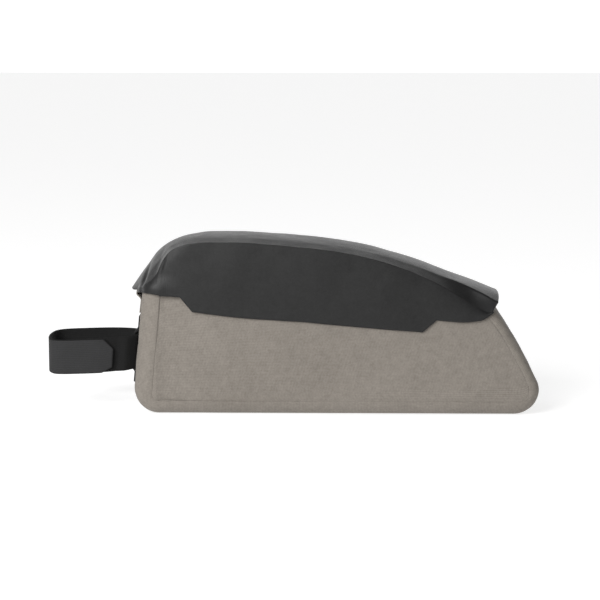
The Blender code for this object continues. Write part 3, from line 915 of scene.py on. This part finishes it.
def strap_plan():
    """(out, across) along the strap: from the end of its inner layer round the loop to the cut end."""
    outs, sides = zip(*STRAP_LOOP)
    half = []
    for k in range((len(STRAP_LOOP) - 1) * STRAP_STEPS + 1):
        at = k / STRAP_STEPS
        half.append((STRAP_REACH * along_curve(outs, at), STRAP_DEPTH / 2 * along_curve(sides, at)))
    layer = STRAP_THICKNESS + STRAP_LAYER_GAP
    near = [(out, -across) for out, across in half]
    inner = []
    for out, across in near:
        if out > STRAP_OVERLAP:
            break
        step = smooth(0.0, layer, (out - STRAP_END * LAP_START) / (STRAP_END * LAP_RUN))
        inner.append((out, across + step))
    outer = [point for point in near[::-1] if point[0] > STRAP_END + STRAP_END_CHAMFER * CUT_CLEARANCE]
    cut = []
    for k in range(CUT_STEPS + 1):
        out = STRAP_END + STRAP_END_CHAMFER * (1 - k / CUT_STEPS)
        cut.append((out, -STRAP_DEPTH / 2 * (CUT_SIDE - CUT_TAPER * k / CUT_STEPS)))
    return [*inner[::-1], *half[1:], *outer[1:], *cut]


def strap_grid(under):
    plan = strap_plan()
    rows = []
    for k, (out, across) in enumerate(plan):
        before, after = plan[max(k - 1, 0)], plan[min(k + 1, len(plan) - 1)]
        run, rise = after[0] - before[0], after[1] - before[1]
        length = math.hypot(run, rise)
        inner_out = out + under * rise / length
        inner_across = across - under * run / length
        away = out / STRAP_REACH
        sag = STRAP_SAG * away + STRAP_NEAR_SAG * smooth(0.0, 1.0, -2 * across / STRAP_DEPTH)
        cut = 0.0
        if k > len(plan) / 2:
            cut = max(0.0, 1 - math.dist(plan[k], plan[-1]) / STRAP_END_CHAMFER)
        low = -STRAP_WIDTH / 2 + cut * STRAP_END_CHAMFER / 2
        high = STRAP_WIDTH / 2 - cut * STRAP_END_CHAMFER
        row = []
        for j in range(STRAP_COLUMNS + 1):
            height = high + (low - high) * j / STRAP_COLUMNS
            lean = (height - sag) * math.tan(FRONT_LEAN) * smooth(1.0, 0.0, away)
            x = front_wall_x(STRAP_HEIGHT) - STRAP_WALL_GAP + lean - inner_out
            row.append((x, inner_across, STRAP_HEIGHT + height - sag))
        rows.append(row)
    return np.array(rows)


def second_layer(piece, grid):
    """The outer layer on the near side, round to the tip of the loop, shows its hook side. The rest keeps the
    darker loop tape, whose colour is partly painted shade on the stub and inside the loop. Faces come in
    pairs, the outer grid's first."""
    tall, wide = grid.shape[:2]
    tip = int(np.argmin(grid[:, :, 0].mean(axis=1)))
    for i in range(tip - HOOK_ROWS_BEFORE_TIP, tall - 1):
        for j in range(wide - 1):
            piece.data.polygons[2 * (i * (wide - 1) + j)].material_index = 1


def build_strap():
    outer, inner = strap_grid(0.0), strap_grid(STRAP_THICKNESS)
    # The second material, the loop tape, is partly painted shade on the stub and the inside of the loop
    piece = cloth("strap_webbing", outer, inner, [LOOP_TAPE_AND_SHADE, HOOK_TAPE], ["front_strap"])
    second_layer(piece, outer)


# Floor, lights and camera

FLOOR_REACH = 6.0
FLOOR_DROP = 0.0002
FLOOR_COLOUR = 0.50
FLOOR_GLOW = 0.72
FLOOR_ROUGHNESS = 0.9
FLOOR_SPECULAR = 0.1
KEY_PLACE = (-0.72, -1.12, 0.74)
KEY_TARGET = (0, 0, 0.05)
KEY_SIZE = 0.8
KEY_POWER = 24.0
ROOM_LIGHT = 0.24
BACKDROP_LIGHT = 1.35

# The backdrop's glow: which part of the direction, where its change starts and ends, its first and last value
BACKDROP_SPANS = ((1, 0.05, 0.75, 0.0, 1.0), (2, 0.12, 0.75, 1.0, 0.0))

SENSOR_WIDTH = 36.0
LENS = 118.4
NEAREST = 0.01
CAMERA_TILT = math.radians(9.5)
CAMERA_DISTANCE = 1.2
CAMERA_PIVOT = Vector((0, 0, 0.045))
CAMERA_AIM = Vector((-0.0218, 0, 0.0656))


def turned_to(place, target):
    return (Vector(target) - Vector(place)).to_track_quat("-Z", "Y").to_euler()


def build_floor():
    mesh = bpy.data.meshes.new("floor")
    r = FLOOR_REACH
    mesh.from_pydata([(-r, -r, 0), (r, -r, 0), (r, r, 0), (-r, r, 0)], [], [(0, 1, 2, 3)])
    g = Graph("floor_white")
    g.shader.inputs["Base Color"].default_value = (FLOOR_COLOUR, FLOOR_COLOUR, FLOOR_COLOUR, 1.0)
    g.shader.inputs["Emission Color"].default_value = (1.0, 1.0, 1.0, 1.0)
    g.shader.inputs["Emission Strength"].default_value = FLOOR_GLOW
    g.shader.inputs["Roughness"].default_value = FLOOR_ROUGHNESS
    g.shader.inputs["Specular IOR Level"].default_value = FLOOR_SPECULAR
    mesh.materials.append(g.material)
    floor = bpy.data.objects.new("floor", mesh)
    floor.location = (0, 0, -FLOOR_DROP)
    bpy.context.scene.collection.objects.link(floor)


def build_world():
    """A dim room with a white backdrop behind the bag, which the flat top of the lid reflects."""
    world = bpy.data.worlds.new("studio")
    world.use_nodes = True
    tree = world.node_tree
    back = tree.nodes["Background"]
    back.inputs["Color"].default_value = (1.0, 1.0, 1.0, 1.0)
    place = tree.nodes.new("ShaderNodeTexCoord")
    split = tree.nodes.new("ShaderNodeSeparateXYZ")
    tree.links.new(place.outputs["Generated"], split.inputs[0])
    glow = tree.nodes.new("ShaderNodeMath")
    glow.operation = "MULTIPLY"
    for target, (axis, low, high, first, last) in zip(glow.inputs, BACKDROP_SPANS):
        ramp = tree.nodes.new("ShaderNodeMapRange")
        ramp.interpolation_type = "SMOOTHSTEP"
        ramp.inputs["From Min"].default_value = low
        ramp.inputs["From Max"].default_value = high
        ramp.inputs["To Min"].default_value = first
        ramp.inputs["To Max"].default_value = last
        tree.links.new(split.outputs[axis], ramp.inputs["Value"])
        tree.links.new(ramp.outputs[0], target)
    total = tree.nodes.new("ShaderNodeMath")
    total.operation = "MULTIPLY_ADD"
    tree.links.new(glow.outputs[0], total.inputs[0])
    total.inputs[1].default_value = BACKDROP_LIGHT
    total.inputs[2].default_value = ROOM_LIGHT
    tree.links.new(total.outputs[0], back.inputs["Strength"])
    bpy.context.scene.world = world


def build_key_light():
    data = bpy.data.lights.new("key", "AREA")
    data.shape = "RECTANGLE"
    data.size = KEY_SIZE
    data.size_y = KEY_SIZE
    data.energy = KEY_POWER
    lamp = bpy.data.objects.new("key", data)
    lamp.location = KEY_PLACE
    lamp.rotation_euler = turned_to(KEY_PLACE, KEY_TARGET)
    bpy.context.scene.collection.objects.link(lamp)


def build_camera():
    """Long lens, a little above the bag and square to its side."""
    data = bpy.data.cameras.new("camera")
    data.sensor_width = SENSOR_WIDTH
    data.lens = LENS
    data.clip_start = NEAREST
    camera = bpy.data.objects.new("camera", data)
    back = Vector((0, -math.cos(CAMERA_TILT), math.sin(CAMERA_TILT)))
    eye = CAMERA_PIVOT + CAMERA_DISTANCE * back
    camera.location = eye
    camera.rotation_euler = turned_to(eye, CAMERA_AIM)
    bpy.context.scene.collection.objects.link(camera)
    bpy.context.scene.camera = camera


build_gusset()
build_panels()
build_lid()
build_hinge()
build_keeper()
build_strap()
build_floor()
build_world()
build_key_light()
build_camera()
bpy.context.scene.view_settings.view_transform = "Standard"
